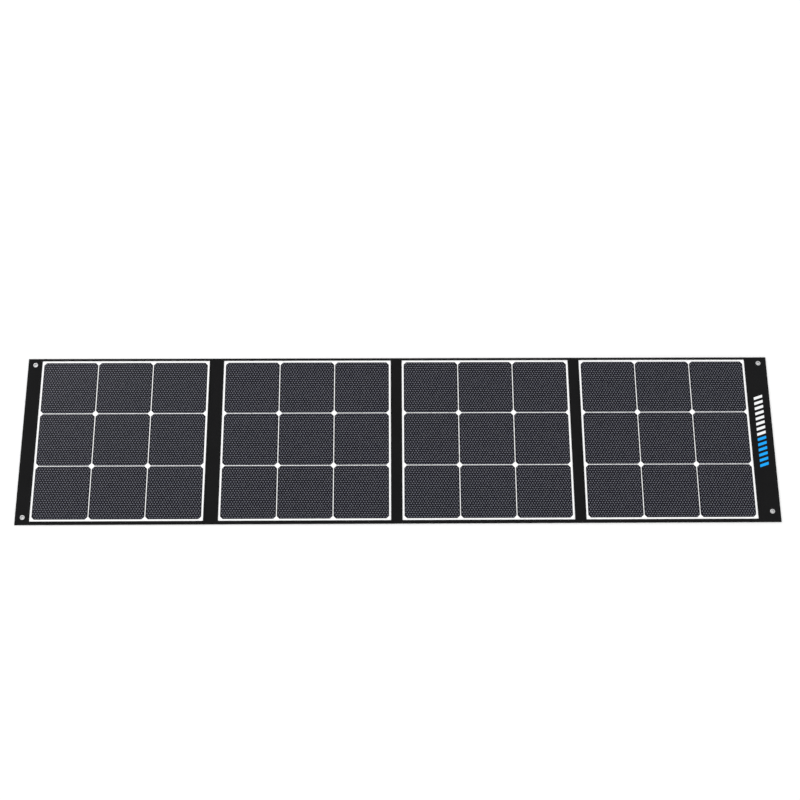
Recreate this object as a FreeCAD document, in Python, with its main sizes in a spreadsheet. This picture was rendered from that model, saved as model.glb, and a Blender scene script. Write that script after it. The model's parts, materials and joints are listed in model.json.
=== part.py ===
"""Folding solar blanket: four cloth-covered leaves, each with nine back-contact cells.

The blanket lies flat. X runs along its length, Y across it, and Z is up, with the
origin at the middle of the underside. Leaf 1 is at -X. All sizes are millimetres.
"""
import FreeCAD, Part
import Sketcher
import math
import os
import re

SIZES = {
    # solar cells and the laminate round them
    "cell_side": 156.75,
    "cell_gap": 2.5,
    "corner_cut": 7.5,
    "white_border": 5.5,
    "border_round": 4.0,
    "cell_depth": 0.4,
    "film_cover": 0.4,
    "backsheet_depth": 0.4,
    "board_depth": 3.2,
    # cloth covers, and the margins that they leave round the laminates
    "cloth": 0.8,
    "tuck": 3.0,
    "side_margin": 8.9,
    "left_margin": 41.7,
    "right_margin": 65.6,
    "liner": 1.0,
    "play": 0.1,
    # folds between the leaves
    "outer_gap": 42.0,
    "middle_gap": 32.3,
    "inner_gap": 32.3,
    "fold_slit": 0.6,
    # eyelets, and how far their centres lie from the blanket's edges
    "eyelet_hole": 4.0,
    "barrel_wall": 0.6,
    "flange_rim": 3.2,
    "flange_crown": 1.2,
    "washer_rim": 3.6,
    "left_inset": 21.3,
    "left_far_inset": 20.0,
    "left_near_inset": 21.5,
    "right_inset": 23.5,
    "right_far_inset": 19.3,
    "right_near_inset": 31.3,
    # junction block behind the middle cell of each leaf, and its flat leads
    "block_length": 64.0,
    "block_width": 52.0,
    "block_play": 0.3,
    "lead_width": 8.0,
    "lead_spacing": 30.0,
    "lead_break": 1.0,
    "terminal_length": 14.0,
    "terminal_width": 6.0,
    "diode_length": 10.0,
    "diode_width": 7.0,
    "diode_depth": 2.2,
    # tabs and bus ribbons that join the cells in series
    "tab_length": 12.0,
    "tab_width": 5.0,
    "tab_depth": 0.2,
    # rubber outlet behind leaf 1, where the output lead leaves
    "outlet_hole": 3.5,
    "outlet_body": 7.0,
    "outlet_flange": 11.0,
    "outlet_offset": 120.0,
}

# Lengths that follow from the sizes, as formulas.
PITCH = "(cell_side + cell_gap)"
HALF_VISIBLE = "(1.5 * cell_side + cell_gap + white_border)"
HALF_LAMINATE = f"({HALF_VISIBLE} + tuck)"
HALF_WIDTH = f"({HALF_VISIBLE} + side_margin)"
GAPS = ("outer_gap", "middle_gap", "inner_gap")
OVERALL = f"(left_margin + 8 * {HALF_VISIBLE} + {' + '.join(GAPS)} + right_margin)"
LEAD_Y = "(lead_spacing / 2)"
BARREL = "(eyelet_hole + barrel_wall)"
WASHER = f"({BARREL} + washer_rim)"

# Heights of the layers above the underside, as formulas.
SKIRT_BASE = "(cloth + liner)"
SKIRT_TOP = f"({SKIRT_BASE} + cloth)"
BACKSHEET_BASE = "(cloth + board_depth)"
CELL_BASE = f"({BACKSHEET_BASE} + backsheet_depth)"
FILM_TOP = f"({CELL_BASE} + cell_depth + film_cover)"
LEAF_TOP = f"({FILM_TOP} + cloth)"

# What lies beyond each leaf's laminate, on its left and on its right.
BESIDE = ("left_margin", *GAPS, "right_margin")
LEAVES = {leaf: (BESIDE[leaf - 1], BESIDE[leaf]) for leaf in range(1, 5)}
CELLS_ACROSS = 3
TABS_PER_CELL = 3
ROUGH = 10.0

doc = FreeCAD.newDocument("FoldingSolarBlanket")
sheet = doc.addObject("Spreadsheet::Sheet", "Sizes")
for row, (alias, value) in enumerate(SIZES.items(), start=1):
    sheet.set(f"A{row}", alias)
    sheet.set(f"B{row}", str(value))
    sheet.setAlias(f"B{row}", alias)
doc.recompute()


def bind(thing, target, formula):
    """Bind one property of a feature to a formula made of the sheet's sizes."""
    named = re.sub(r"[a-z]\w*", lambda found: f"Sizes.{found[0]}", formula)
    thing.setExpression(target, named)


def leaf_middle(leaf):
    """X of the middle of a leaf's laminate."""
    gaps = "".join(f" + {gap}" for gap in GAPS[:leaf - 1])
    return f"left_margin + {2 * leaf - 1} * {HALF_VISIBLE}{gaps} - {OVERALL} / 2"


def is_fold(strip):
    """True for a strip of cloth that two leaves share across a fold."""
    return strip in GAPS


def reach(strip, hem="0"):
    """How far a leaf reaches from the middle of its laminate, over a margin or half a fold."""
    if is_fold(strip):
        return f"({HALF_VISIBLE} + {strip} / 2 - fold_slit / 2)"
    return f"({HALF_VISIBLE} + {strip} - {hem})"


# --- features -----------------------------------------------------------------------------

def new_body(label, x, y="0"):
    """A body whose origin is on the underside of the blanket, at that X and Y."""
    body = doc.addObject("PartDesign::Body", label)
    body.Label = label
    bind(body, "Placement.Base.x", x)
    bind(body, "Placement.Base.y", y)
    return body


def origin_part(body, role):
    """The body's own origin plane or axis with that role."""
    return next(part for part in body.Origin.OriginFeatures if part.Role == role)


def new_sketch(body, name, plane="XY_Plane", base="0"):
    """A sketch on one of the body's planes, raised by a formula."""
    sketch = body.newObject("Sketcher::SketchObject", f"{body.Name}_{name}_sketch")
    sketch.AttachmentSupport = [(origin_part(body, plane), "")]
    sketch.MapMode = "FlatFace"
    bind(sketch, "AttachmentOffset.Base.z", base)
    return sketch


def place_point(sketch, curve, end, x, y):
    """Hold one end of a curve at signed distances from the sketch's origin."""
    for axis, formula in (("X", x), ("Y", y)):
        rule = Sketcher.Constraint(f"Distance{axis}", -1, 1, curve, end, ROUGH)
        index = sketch.addConstraint(rule)
        bind(sketch, f"Constraints[{index}]", formula)


def polygon(sketch, corners):
    """A closed outline with straight sides, from its corners as pairs of formulas."""
    first = sketch.GeometryCount
    turn = 2 * math.pi / len(corners)
    start = [
        FreeCAD.Vector(ROUGH * math.cos(k * turn), ROUGH * math.sin(k * turn), 0)
        for k in range(len(corners))
    ]
    for number in range(len(corners)):
        following = (number + 1) % len(corners)
        sketch.addGeometry(Part.LineSegment(start[number], start[following]), False)
    for number, (x, y) in enumerate(corners):
        following = (number + 1) % len(corners)
        joint = Sketcher.Constraint("Coincident", first + number, 2, first + following, 1)
        sketch.addConstraint(joint)
        place_point(sketch, first + number, 1, x, y)


def box_corners(west, east, south, north):
    """The corners of a rectangle with those sides."""
    return [(west, south), (east, south), (east, north), (west, north)]


def centred(half_x, half_y=None, x="0", y="0"):
    """The corners of a rectangle about a point, from its half sizes."""
    half_y = half_y or half_x
    sides = (f"{x} - {half_x}", f"{x} + {half_x}", f"{y} - {half_y}", f"{y} + {half_y}")
    return box_corners(*sides)


def extrude(body, kind, name, base, height, *outlines):
    """Pad or pocket closed outlines upwards from one height, over another."""
    sketch = new_sketch(body, name, base=base)
    for corners in outlines:
        polygon(sketch, corners)
    feature = body.newObject(f"PartDesign::{kind}", f"{body.Name}_{name}")
    feature.Profile = sketch
    bind(feature, "Length", height)
    feature.Reversed = kind == "Pocket"
    return feature


def pad(body, name, base, height, *outlines):
    return extrude(body, "Pad", name, base, height, *outlines)


def pocket(body, name, base, height, *outlines):
    return extrude(body, "Pocket", name, base, height, *outlines)


def drill(body, name, radius, *centres):
    """Round holes straight up through a piece."""
    sketch = new_sketch(body, name)
    for x, y in centres:
        middle = FreeCAD.Vector(ROUGH, ROUGH, 0)
        up = FreeCAD.Vector(0, 0, 1)
        circle = sketch.addGeometry(Part.Circle(middle, up, ROUGH), False)
        index = sketch.addConstraint(Sketcher.Constraint("Radius", circle, ROUGH))
        bind(sketch, f"Constraints[{index}]", radius)
        place_point(sketch, circle, 3, x, y)
    hole = body.newObject("PartDesign::Pocket", f"{body.Name}_{name}")
    hole.Profile = sketch
    hole.Type = "ThroughAll"
    hole.Reversed = True
    return hole


def pattern(body, feature, name, length_x, count_x, length_y, count_y):
    """Repeat one feature in rows along X and Y."""
    rows = body.newObject("PartDesign::LinearPattern", f"{body.Name}_{name}")
    rows.Originals = [feature]
    rows.Direction = (origin_part(body, "X_Axis"), [""])
    rows.Direction2 = (origin_part(body, "Y_Axis"), [""])
    bind(rows, "Length", length_x)
    bind(rows, "Length2", length_y)
    rows.Occurrences = count_x
    rows.Occurrences2 = count_y
    body.Tip = rows
    return rows


def revolve(body, name, corners):
    """Turn an outline of (radius, height) corners about the body's upright axis."""
    sketch = new_sketch(body, name, plane="XZ_Plane")
    count = len(corners)
    start = [FreeCAD.Vector(ROUGH + (k > 1), k, 0) for k in range(count)]
    for number in range(count):
        following = (number + 1) % count
        sketch.addGeometry(Part.LineSegment(start[number], start[following]), False)
    for number, (x, y) in enumerate(corners):
        following = (number + 1) % count
        sketch.addConstraint(Sketcher.Constraint("Coincident", number, 2, following, 1))
        place_point(sketch, number, 1, x, y)
    turned = body.newObject("PartDesign::Revolution", f"{body.Name}_{name}")
    turned.Profile = sketch
    turned.ReferenceAxis = (sketch, ["V_Axis"])
    turned.Angle = 360
    return turned


# --- laminate -----------------------------------------------------------------------------

def cell_outline(x, y):
    """The corners of one cell: a square with its corners cut off."""
    half = "(cell_side / 2)"
    short = "(cell_side / 2 - corner_cut)"
    signs = ((-1, -1), (1, -1), (1, 1), (-1, 1))
    corners = []
    for number, (right, far) in enumerate(signs):
        reaches = [(short, half), (half, short)]
        if number % 2 == 0:
            reaches.reverse()
        for reach_x, reach_y in reaches:
            corner_x = f"{x} + {right} * {reach_x}"
            corner_y = f"{y} + {far} * {reach_y}"
            corners.append((corner_x, corner_y))
    return corners


def cell_rows(body, feature):
    """Repeat one cell's feature over the laminate."""
    span = f"{CELLS_ACROSS - 1} * {PITCH}"
    return pattern(body, feature, "rows", span, CELLS_ACROSS, span, CELLS_ACROSS)


def make_cells(leaf):
    body = new_body(f"cells_{leaf}", leaf_middle(leaf))
    corner = cell_outline(f"-{PITCH}", f"-{PITCH}")
    cell_rows(body, pad(body, "cell", CELL_BASE, "cell_depth", corner))
    return body


def make_front_film(leaf):
    """Clear film that covers the cells and fills the gaps between them."""
    body = new_body(f"front_film_{leaf}", leaf_middle(leaf))
    pad(body, "film", CELL_BASE, "cell_depth + film_cover", centred(HALF_LAMINATE))
    corner = cell_outline(f"-{PITCH}", f"-{PITCH}")
    cell_rows(body, pocket(body, "cell_room", CELL_BASE, "cell_depth", corner))
    return body


def bus_outline(sign):
    """The corners of a bus ribbon, from an end cell of the string to the junction block."""
    half = "(tab_width / 2)"
    spots = [
        (f"-{PITCH} - {half}", f"-{PITCH}"),
        (f"-{PITCH} + {half}", f"-{PITCH}"),
        (f"-{PITCH} + {half}", f"-{LEAD_Y} - {half}"),
        ("tab_length / 2", f"-{LEAD_Y} - {half}"),
        ("tab_length / 2", f"-{LEAD_Y} + {half}"),
        (f"-{PITCH} - {half}", f"-{LEAD_Y} + {half}"),
    ]
    return [(f"{sign} * ({x})", f"{sign} * ({y})") for x, y in spots]


def add_string(body, extruder):
    """Pad the series string's tabs and ribbons, or pocket the room that they lie in."""
    base = f"{CELL_BASE} - tab_depth"
    step = f"({PITCH} / {TABS_PER_CELL})"
    tabs_down = CELLS_ACROSS * TABS_PER_CELL
    lowest = f"-{(tabs_down - 1) / 2} * {step}"
    along = centred("(tab_length / 2)", "(tab_width / 2)", f"-{PITCH} / 2", lowest)
    joining = extruder(body, "joining", base, "tab_depth", along)
    pattern(body, joining, "joining_rows", PITCH, CELLS_ACROSS - 1,
            f"{tabs_down - 1} * {step}", tabs_down)
    for name, sign in (("near", 1), ("far", -1)):
        first_x = f"{sign} * {PITCH} - {step}"
        across = centred("(tab_width / 2)", "(tab_length / 2)", first_x, f"-{sign} * {PITCH} / 2")
        turn = extruder(body, f"turn_{name}", base, "tab_depth", across)
        pattern(body, turn, f"turn_{name}_row", f"2 * {step}", TABS_PER_CELL, "0", 1)
    extruder(body, "buses", base, "tab_depth", bus_outline(1), bus_outline(-1))
    return extruder(body, "drops", BACKSHEET_BASE, "backsheet_depth - tab_depth",
                    centred("(tab_length / 2)", "(tab_width / 2)", "0", f"-{LEAD_Y}"),
                    centred("(tab_length / 2)", "(tab_width / 2)", "0", LEAD_Y))


def make_interconnects(leaf):
    body = new_body(f"interconnects_{leaf}", leaf_middle(leaf))
    body.Tip = add_string(body, pad)
    return body


def make_backsheet(leaf):
    """White sheet behind the cells, recessed for the tabs and ribbons."""
    body = new_body(f"backsheet_{leaf}", leaf_middle(leaf))
    pad(body, "sheet", BACKSHEET_BASE, "backsheet_depth", centred(HALF_LAMINATE))
    body.Tip = add_string(body, pocket)
    return body


# --- board, junction block and leads ------------------------------------------------------

def lead_strips(west, east, half_width):
    """The outlines of the two flat leads between those X formulas."""
    lines = (f"-{LEAD_Y}", LEAD_Y)
    return [box_corners(west, east, f"{y} - {half_width}", f"{y} + {half_width}") for y in lines]


def make_board(leaf):
    """Stiff board behind the laminate, cut out for the junction block and its leads."""
    left, right = LEAVES[leaf]
    body = new_body(f"stiffener_board_{leaf}", leaf_middle(leaf))
    pad(body, "board", "cloth", "board_depth", centred(HALF_LAMINATE))
    room = centred("(block_length / 2 + block_play)", "(block_width / 2 + block_play)")
    pocket(body, "block_room", "cloth", "board_depth", room)
    slot = "(lead_width / 2 + play)"
    if is_fold(left):
        pocket(body, "left_channels", "cloth", "liner",
               *lead_strips(f"-{HALF_LAMINATE}", "-block_length / 2", slot))
    if is_fold(right):
        pocket(body, "right_channels", "cloth", "liner",
               *lead_strips("block_length / 2", HALF_LAMINATE, slot))
    if leaf == 1:
        half = f"({LEAD_Y} + {slot})"
        well = box_corners("-outlet_offset", "-block_length / 2", f"-{half}", half)
        pocket(body, "output_well", "cloth", "liner", well)
        body.Tip = drill(body, "outlet_room", "outlet_body + play", ("-outlet_offset", "0"))
    return body


def make_junction_block(leaf):
    """Flat moulded block that holds two terminals and a bypass diode."""
    body = new_body(f"junction_block_{leaf}", leaf_middle(leaf))
    pad(body, "block", "cloth", "board_depth", centred("(block_length / 2)", "(block_width / 2)"))
    pocket(body, "lead_ways", "cloth", "liner",
           *lead_strips("-block_length / 2", "block_length / 2", "(lead_width / 2 + play)"))
    pocket(body, "terminal_room", SKIRT_BASE, "board_depth - liner", *terminal_outlines())
    pocket(body, "diode_room", f"{BACKSHEET_BASE} - diode_depth", "diode_depth",
           centred("(diode_length / 2)", "(diode_width / 2)"))
    return body


def terminal_outlines():
    half_x = "(terminal_length / 2)"
    half_y = "(terminal_width / 2)"
    return [centred(half_x, half_y, "0", y) for y in (f"-{LEAD_Y}", LEAD_Y)]


def make_terminals(leaf):
    body = new_body(f"terminals_{leaf}", leaf_middle(leaf))
    pad(body, "posts", SKIRT_BASE, "board_depth - liner", *terminal_outlines())
    return body


def make_bypass_diode(leaf):
    body = new_body(f"bypass_diode_{leaf}", leaf_middle(leaf))
    pad(body, "diode", f"{BACKSHEET_BASE} - diode_depth", "diode_depth",
        centred("(diode_length / 2)", "(diode_width / 2)"))
    return body


def make_leads(leaf, side):
    """The pair of flat leads from the junction block to the middle of a fold."""
    left, right = LEAVES[leaf]
    body = new_body(f"series_leads_{leaf}_{side}", leaf_middle(leaf))
    ends = {
        "left": (f"-{reach(left)}", "-lead_break / 2"),
        "right": ("lead_break / 2", reach(right)),
    }
    pad(body, "leads", "cloth", "liner", *lead_strips(*ends[side], "(lead_width / 2)"))
    return body


# --- cloth --------------------------------------------------------------------------------

def eyelet_spots(leaf):
    """Centres of a leaf's eyelets from the middle of its laminate: none on a middle leaf."""
    for sign, strip, name in ((-1, LEAVES[leaf][0], "left"), (1, LEAVES[leaf][1], "right")):
        if not is_fold(strip):
            x = f"{sign} * ({reach(strip)} - {name}_inset)"
            return [(x, f"{HALF_WIDTH} - {name}_far_inset"), (x, f"{name}_near_inset - {HALF_WIDTH}")]
    return []


def window_corners(body, half):
    """Names of the upright edges at the four corners of a square window."""
    names = []
    for number, edge in enumerate(body.Shape.Edges, start=1):
        ends = [vertex.Point for vertex in edge.Vertexes]
        local = ends[0] - body.Placement.Base
        upright = abs(ends[0].x - ends[-1].x) + abs(ends[0].y - ends[-1].y) < 0.01
        if upright and max(abs(abs(local.x) - half), abs(abs(local.y) - half)) < 0.01:
            names.append(f"Edge{number}")
    return names


def make_front_cover(leaf):
    """Front cloth: a window over the laminate, a low skirt round it and hems turned down."""
    left, right = LEAVES[leaf]
    body = new_body(f"front_cover_{leaf}", leaf_middle(leaf))
    full = box_corners(f"-{reach(left)}", reach(right), f"-{HALF_WIDTH}", HALF_WIDTH)
    pad(body, "skirt", "0", SKIRT_TOP, full)
    pad(body, "raised", "0", LEAF_TOP, centred(f"({HALF_LAMINATE} + cloth)"))
    pocket(body, "laminate_room", "0", FILM_TOP, centred(HALF_LAMINATE))
    hem = {strip: reach(strip, "cloth") for strip in (left, right)}
    for strip in (left, right):
        if is_fold(strip):
            hem[strip] = f"({reach(strip)} + cloth)"
    inside = f"({HALF_WIDTH} - cloth)"
    pocket(body, "hem_room", "0", SKIRT_BASE,
           box_corners(f"-{hem[left]}", hem[right], f"-{inside}", inside))
    window = pocket(body, "window", "0", LEAF_TOP, centred(HALF_VISIBLE))
    doc.recompute()
    half = 1.5 * sheet.cell_side + sheet.cell_gap + sheet.white_border
    rounding = body.newObject("PartDesign::Fillet", f"{body.Name}_rounding")
    rounding.Base = (window, window_corners(body, half))
    bind(rounding, "Radius", "border_round")
    body.Tip = rounding
    if eyelet_spots(leaf):
        body.Tip = drill(body, "eyelet_holes", f"{BARREL} + play", *eyelet_spots(leaf))
    return body


def make_rear_cover(leaf):
    """Rear cloth, inside the front cover's hems."""
    left, right = LEAVES[leaf]
    body = new_body(f"rear_cover_{leaf}", leaf_middle(leaf))
    inside = f"({HALF_WIDTH} - cloth)"
    pad(body, "cloth", "0", "cloth",
        box_corners(f"-{reach(left, 'cloth')}", reach(right, "cloth"), f"-{inside}", inside))
    if eyelet_spots(leaf):
        body.Tip = drill(body, "washer_holes", f"{WASHER} + play", *eyelet_spots(leaf))
    if leaf == 1:
        body.Tip = drill(body, "outlet_hole", "outlet_flange + play", ("-outlet_offset", "0"))
    return body


def make_margin_liner(leaf, side):
    """Stiff strip between the two cloths of an end margin, which the eyelets grip."""
    body = new_body(f"margin_liner_{side}", leaf_middle(leaf))
    inside = f"({HALF_WIDTH} - cloth)"
    inner = f"({HALF_LAMINATE} + play)"
    outer = reach(f"{side}_margin", "cloth")
    ends = {"left": (f"-{outer}", f"-{inner}"), "right": (inner, outer)}
    pad(body, "strip", "cloth", "liner", box_corners(*ends[side], f"-{inside}", inside))
    body.Tip = drill(body, "eyelet_holes", f"{BARREL} + play", *eyelet_spots(leaf))
    return body


# --- eyelets and outlet -------------------------------------------------------------------

def eyelet_pair(label, side, corners):
    """Two turned pieces at the far and near eyelets of one end."""
    edge = {"left": f"{side}_inset - {OVERALL} / 2", "right": f"{OVERALL} / 2 - {side}_inset"}
    body = new_body(label, edge[side], f"{side}_near_inset - {HALF_WIDTH}")
    turned = revolve(body, "ring", corners)
    between = f"2 * {HALF_WIDTH} - {side}_far_inset - {side}_near_inset"
    pattern(body, turned, "pair", "0", 1, between, 2)
    return body


def make_eyelets(side):
    """Barrels through the cloth with a crowned flange on the front."""
    flange = "(eyelet_hole + flange_rim)"
    corners = [
        ("eyelet_hole", "0"),
        (BARREL, "0"),
        (BARREL, SKIRT_TOP),
        (flange, SKIRT_TOP),
        (f"{flange} - flange_rim / 6", f"{SKIRT_TOP} + 0.7 * flange_crown"),
        (f"{flange} - flange_rim / 3", f"{SKIRT_TOP} + flange_crown"),
        (f"{BARREL} + flange_rim / 6", f"{SKIRT_TOP} + flange_crown"),
        ("eyelet_hole", f"{SKIRT_TOP} + flange_crown / 2"),
    ]
    return eyelet_pair(f"eyelets_{side}", side, corners)


def make_washers(side):
    """Rear washers that the barrels are set into, flush with the underside."""
    inner = f"{BARREL} + play"
    return eyelet_pair(f"eyelet_washers_{side}", side, box_corners(inner, WASHER, "0", "cloth"))


def make_outlet():
    """Rubber outlet: a flange flush with the rear cloth and a body set into the board."""
    body = new_body("lead_outlet", f"{leaf_middle(1)} - outlet_offset")
    revolve(body, "rubber", [
        ("outlet_hole", "0"),
        ("outlet_flange", "0"),
        ("outlet_flange", "cloth"),
        ("outlet_body", "cloth"),
        ("outlet_body", BACKSHEET_BASE),
        ("outlet_hole", BACKSHEET_BASE),
    ])
    return body


# --- assembly -----------------------------------------------------------------------------

pieces = []
for leaf, (left, right) in LEAVES.items():
    pieces.append(make_front_cover(leaf))
    pieces.append(make_rear_cover(leaf))
    pieces.append(make_front_film(leaf))
    pieces.append(make_cells(leaf))
    pieces.append(make_interconnects(leaf))
    pieces.append(make_backsheet(leaf))
    pieces.append(make_board(leaf))
    pieces.append(make_junction_block(leaf))
    pieces.append(make_terminals(leaf))
    pieces.append(make_bypass_diode(leaf))
    if is_fold(left):
        pieces.append(make_leads(leaf, "left"))
    if is_fold(right):
        pieces.append(make_leads(leaf, "right"))
for leaf, side in ((1, "left"), (4, "right")):
    pieces.append(make_margin_liner(leaf, side))
    pieces.append(make_eyelets(side))
    pieces.append(make_washers(side))
pieces.append(make_outlet())
doc.recompute()

for thing in doc.Objects:
    if {"Invalid", "Error"} & set(thing.State):
        raise RuntimeError(f"{thing.Label} failed: {thing.State}")
for piece in pieces:
    if piece.Shape.isNull() or not piece.Shape.isValid():
        raise RuntimeError(f"{piece.Label} has no valid shape")

os.makedirs("parts", exist_ok=True)
for piece in pieces:
    piece.Shape.exportStep(f"parts/{piece.Label}.step")
    print(piece.Label, len(piece.Shape.Solids), round(piece.Shape.Volume, 1))
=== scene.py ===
"""Folding solar blanket: cloth, film, stitching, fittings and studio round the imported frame."""
import json
import math

import bmesh
import bpy
import numpy as np
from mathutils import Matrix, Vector


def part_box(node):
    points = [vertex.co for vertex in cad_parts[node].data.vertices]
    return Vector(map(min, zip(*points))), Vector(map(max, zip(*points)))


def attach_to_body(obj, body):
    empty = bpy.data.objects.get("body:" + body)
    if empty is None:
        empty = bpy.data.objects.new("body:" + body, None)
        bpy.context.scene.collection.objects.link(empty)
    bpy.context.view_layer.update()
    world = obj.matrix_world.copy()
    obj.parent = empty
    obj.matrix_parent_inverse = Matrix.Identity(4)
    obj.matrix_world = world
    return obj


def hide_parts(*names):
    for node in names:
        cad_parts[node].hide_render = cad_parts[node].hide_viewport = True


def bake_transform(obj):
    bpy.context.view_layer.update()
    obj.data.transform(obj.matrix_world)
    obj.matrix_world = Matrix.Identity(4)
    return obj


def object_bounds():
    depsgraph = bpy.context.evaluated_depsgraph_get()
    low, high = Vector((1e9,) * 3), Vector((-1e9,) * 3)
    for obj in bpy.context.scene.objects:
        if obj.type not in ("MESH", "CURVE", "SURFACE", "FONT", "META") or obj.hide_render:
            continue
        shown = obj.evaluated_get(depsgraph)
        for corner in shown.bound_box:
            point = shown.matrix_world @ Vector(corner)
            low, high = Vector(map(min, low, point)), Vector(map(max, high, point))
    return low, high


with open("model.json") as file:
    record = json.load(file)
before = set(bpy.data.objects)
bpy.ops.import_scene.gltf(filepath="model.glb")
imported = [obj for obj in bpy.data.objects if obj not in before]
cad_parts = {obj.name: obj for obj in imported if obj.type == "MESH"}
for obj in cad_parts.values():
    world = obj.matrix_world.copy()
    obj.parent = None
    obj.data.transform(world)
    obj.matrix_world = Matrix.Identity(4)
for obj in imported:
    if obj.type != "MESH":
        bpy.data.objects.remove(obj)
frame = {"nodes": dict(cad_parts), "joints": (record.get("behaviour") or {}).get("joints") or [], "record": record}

bl_info = {
    "name": "Folding Solar Blanket",
    "version": (1, 0, 0),
    "blender": (4, 5, 0),
    "location": "3D View > Sidebar > Blanket",
    "description": "Builds the cloth, film, stitching and fittings of a folding solar blanket",
    "category": "Object",
}

MM = 0.001
CAD_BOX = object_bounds()
LEAVES = (1, 2, 3, 4)
ENDS = {"left": 1, "right": 4}
FOLDS = ("outer_fold", "middle_fold", "inner_fold")
JOINTS = {joint["name"]: joint for joint in frame["joints"]}
LOW, HIGH = Vector(CAD_BOX[0]), Vector(CAD_BOX[1])
FILM_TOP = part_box("front_film_1")[1].z
LEAF_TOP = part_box("front_cover_1")[1].z
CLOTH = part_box("rear_cover_1")[1].z
SKIRT_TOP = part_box("margin_liner_left")[1].z + CLOTH
LAMINATE = {leaf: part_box(f"front_film_{leaf}") for leaf in LEAVES}
# How thick the cloth's walls are, how closely folds are gridded, and when two points are one.
WALL = 0.75 * CLOTH
FOLD_STEP = 1.2 * MM
SAME_LINE = 0.02 * MM
LEAD_WIDTH = 8 * MM
# Radii of an eyelet's barrel and of its washer.
BARREL = 4.6 * MM
WASHER = 8.2 * MM
# The middle fold's ends are put nearer to its line, meant to keep it clear of leaf 4's end margin; the ends are
# worked out, but nothing bends the pieces with them.
BEND_SHORT = {"middle_fold": 5.5 * MM}


# --- settings ------------------------------------------------------------------------------

def settings_of(part):
    """The cloth, panels, fittings or stage settings."""
    return getattr(bpy.context.scene, f"blanket_{part}")


def length(name, default, description):
    return bpy.props.FloatProperty(
        name=name, description=description, default=default, min=0, unit="LENGTH", precision=5
    )


def colour(name, default, description):
    return bpy.props.FloatVectorProperty(
        name=name, description=description, default=default, min=0, max=1,
        subtype="COLOR", size=3,
    )


class BlanketClothSettings(bpy.types.PropertyGroup):
    tuck: length("Tuck", 3 * MM, "How far the cloth overlaps the laminate's edge")
    slope: length("Slope", 3.4 * MM, "Width of the slope from the laminate down to the hem")
    hem_round: length("Hem round", 1.3 * MM, "Radius of the turned hem at the blanket's edge")
    thread_pitch: length("Thread pitch", 0.9 * MM, "Spacing of the canvas's threads")
    stitch_pitch: length("Stitch pitch", 4.2 * MM, "Spacing of the stitches in a seam")
    stitch_length: length("Stitch length", 3.1 * MM, "Length of one stitch")
    stitch_width: length("Stitch width", 0.75 * MM, "Width of one stitch")
    ripple: length("Ripple", 0.25 * MM, "Height of the slow ripples in the loose cloth")
    canvas: colour("Canvas", (0.0062, 0.0062, 0.0065), "Colour of the coated canvas")
    thread: colour("Thread", (0.020, 0.020, 0.021), "Colour of the sewing thread")


class BlanketPanelSettings(bpy.types.PropertyGroup):
    dimple_pitch: length("Dimple pitch", 7.6 * MM, "Spacing of the film's embossed dots")
    dimple_width: length("Dimple width", 4.5 * MM, "Width of one embossed dot")
    dimple_height: length("Dimple height", 0.22 * MM, "Height of one embossed dot")
    cell_gap: length("Cell gap", 2.5 * MM, "Gap between two cells")
    corner_cut: length("Corner cut", 7.5 * MM, "How far a cell's cut corner reaches along its side")
    cell: colour("Cell", (0.0042, 0.0046, 0.0085), "Colour of the cells")
    # Painted highlight: the dot colour stands for light that the embossed dots scatter.
    dot: colour("Dot", (0.185, 0.189, 0.228), "Light that an embossed dot scatters")
    gloss: bpy.props.FloatProperty(
        name="Gloss", description="Strength of the film's satin reflection", default=0.2,
        min=0, max=1, subtype="FACTOR",
    )
    backing: colour("Backing", (0.97, 0.97, 0.975), "Colour of the white backing")


class BlanketFittingSettings(bpy.types.PropertyGroup):
    print_width: length("Print width", 25 * MM, "Width of the striped print, along the blanket")
    print_length: length("Print length", 222 * MM, "Length of the striped print")
    print_white: colour("Print white", (0.86, 0.87, 0.88), "Pale half of the print")
    print_blue: colour("Print blue", (0.0, 0.36, 0.92), "Blue half of the print")
    metal: colour("Eyelets", (0.50, 0.50, 0.505), "Colour of the plated eyelets")


class BlanketStageSettings(bpy.types.PropertyGroup):
    camera_place: bpy.props.FloatVectorProperty(
        name="Camera place", description="Where the camera stands",
        default=(-0.0258, -1.4698, 4.1020), subtype="TRANSLATION", unit="LENGTH",
    )
    camera_turn: bpy.props.FloatVectorProperty(
        name="Camera turn", description="The camera's turn about X, Y and Z",
        default=tuple(math.radians(angle) for angle in (21.208, -0.767, -0.473)),
        subtype="EULER", unit="ROTATION",
    )
    lens: bpy.props.FloatProperty(
        name="Lens", description="Focal length in millimetres", default=68.22, min=1,
        unit="CAMERA",
    )
    shift: bpy.props.FloatVectorProperty(
        name="Shift", description="Sideways and upward lens shift", default=(-0.01667, -0.00025),
        size=2, precision=5,
    )
    floor: colour("Floor", (0.93, 0.93, 0.93), "Colour of the floor")


# --- shader helpers ------------------------------------------------------------------------

def new_group(name, inputs, outputs):
    """A shader node group with float or vector inputs and outputs."""
    tree = bpy.data.node_groups.new(name, "ShaderNodeTree")
    for label, kind, default in inputs:
        socket = tree.interface.new_socket(label, in_out="INPUT", socket_type=f"NodeSocket{kind}")
        if default is not None:
            socket.default_value = default
    for label, kind in outputs:
        tree.interface.new_socket(label, in_out="OUTPUT", socket_type=f"NodeSocket{kind}")
    return tree, tree.nodes.new("NodeGroupInput"), tree.nodes.new("NodeGroupOutput")


def wire(tree, socket, value):
    """Link a socket, or set its value."""
    if isinstance(value, bpy.types.NodeSocket):
        tree.links.new(value, socket)
    else:
        socket.default_value = value


def add(tree, kind, settings=None, **inputs):
    """A node with its settings, and its inputs linked or set by name, with _ for a space."""
    node = tree.nodes.new(kind)
    for name, value in (settings or {}).items():
        setattr(node, name, value)
    for label, value in inputs.items():
        wire(tree, node.inputs[label.replace("_", " ")], value)
    return node


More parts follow.
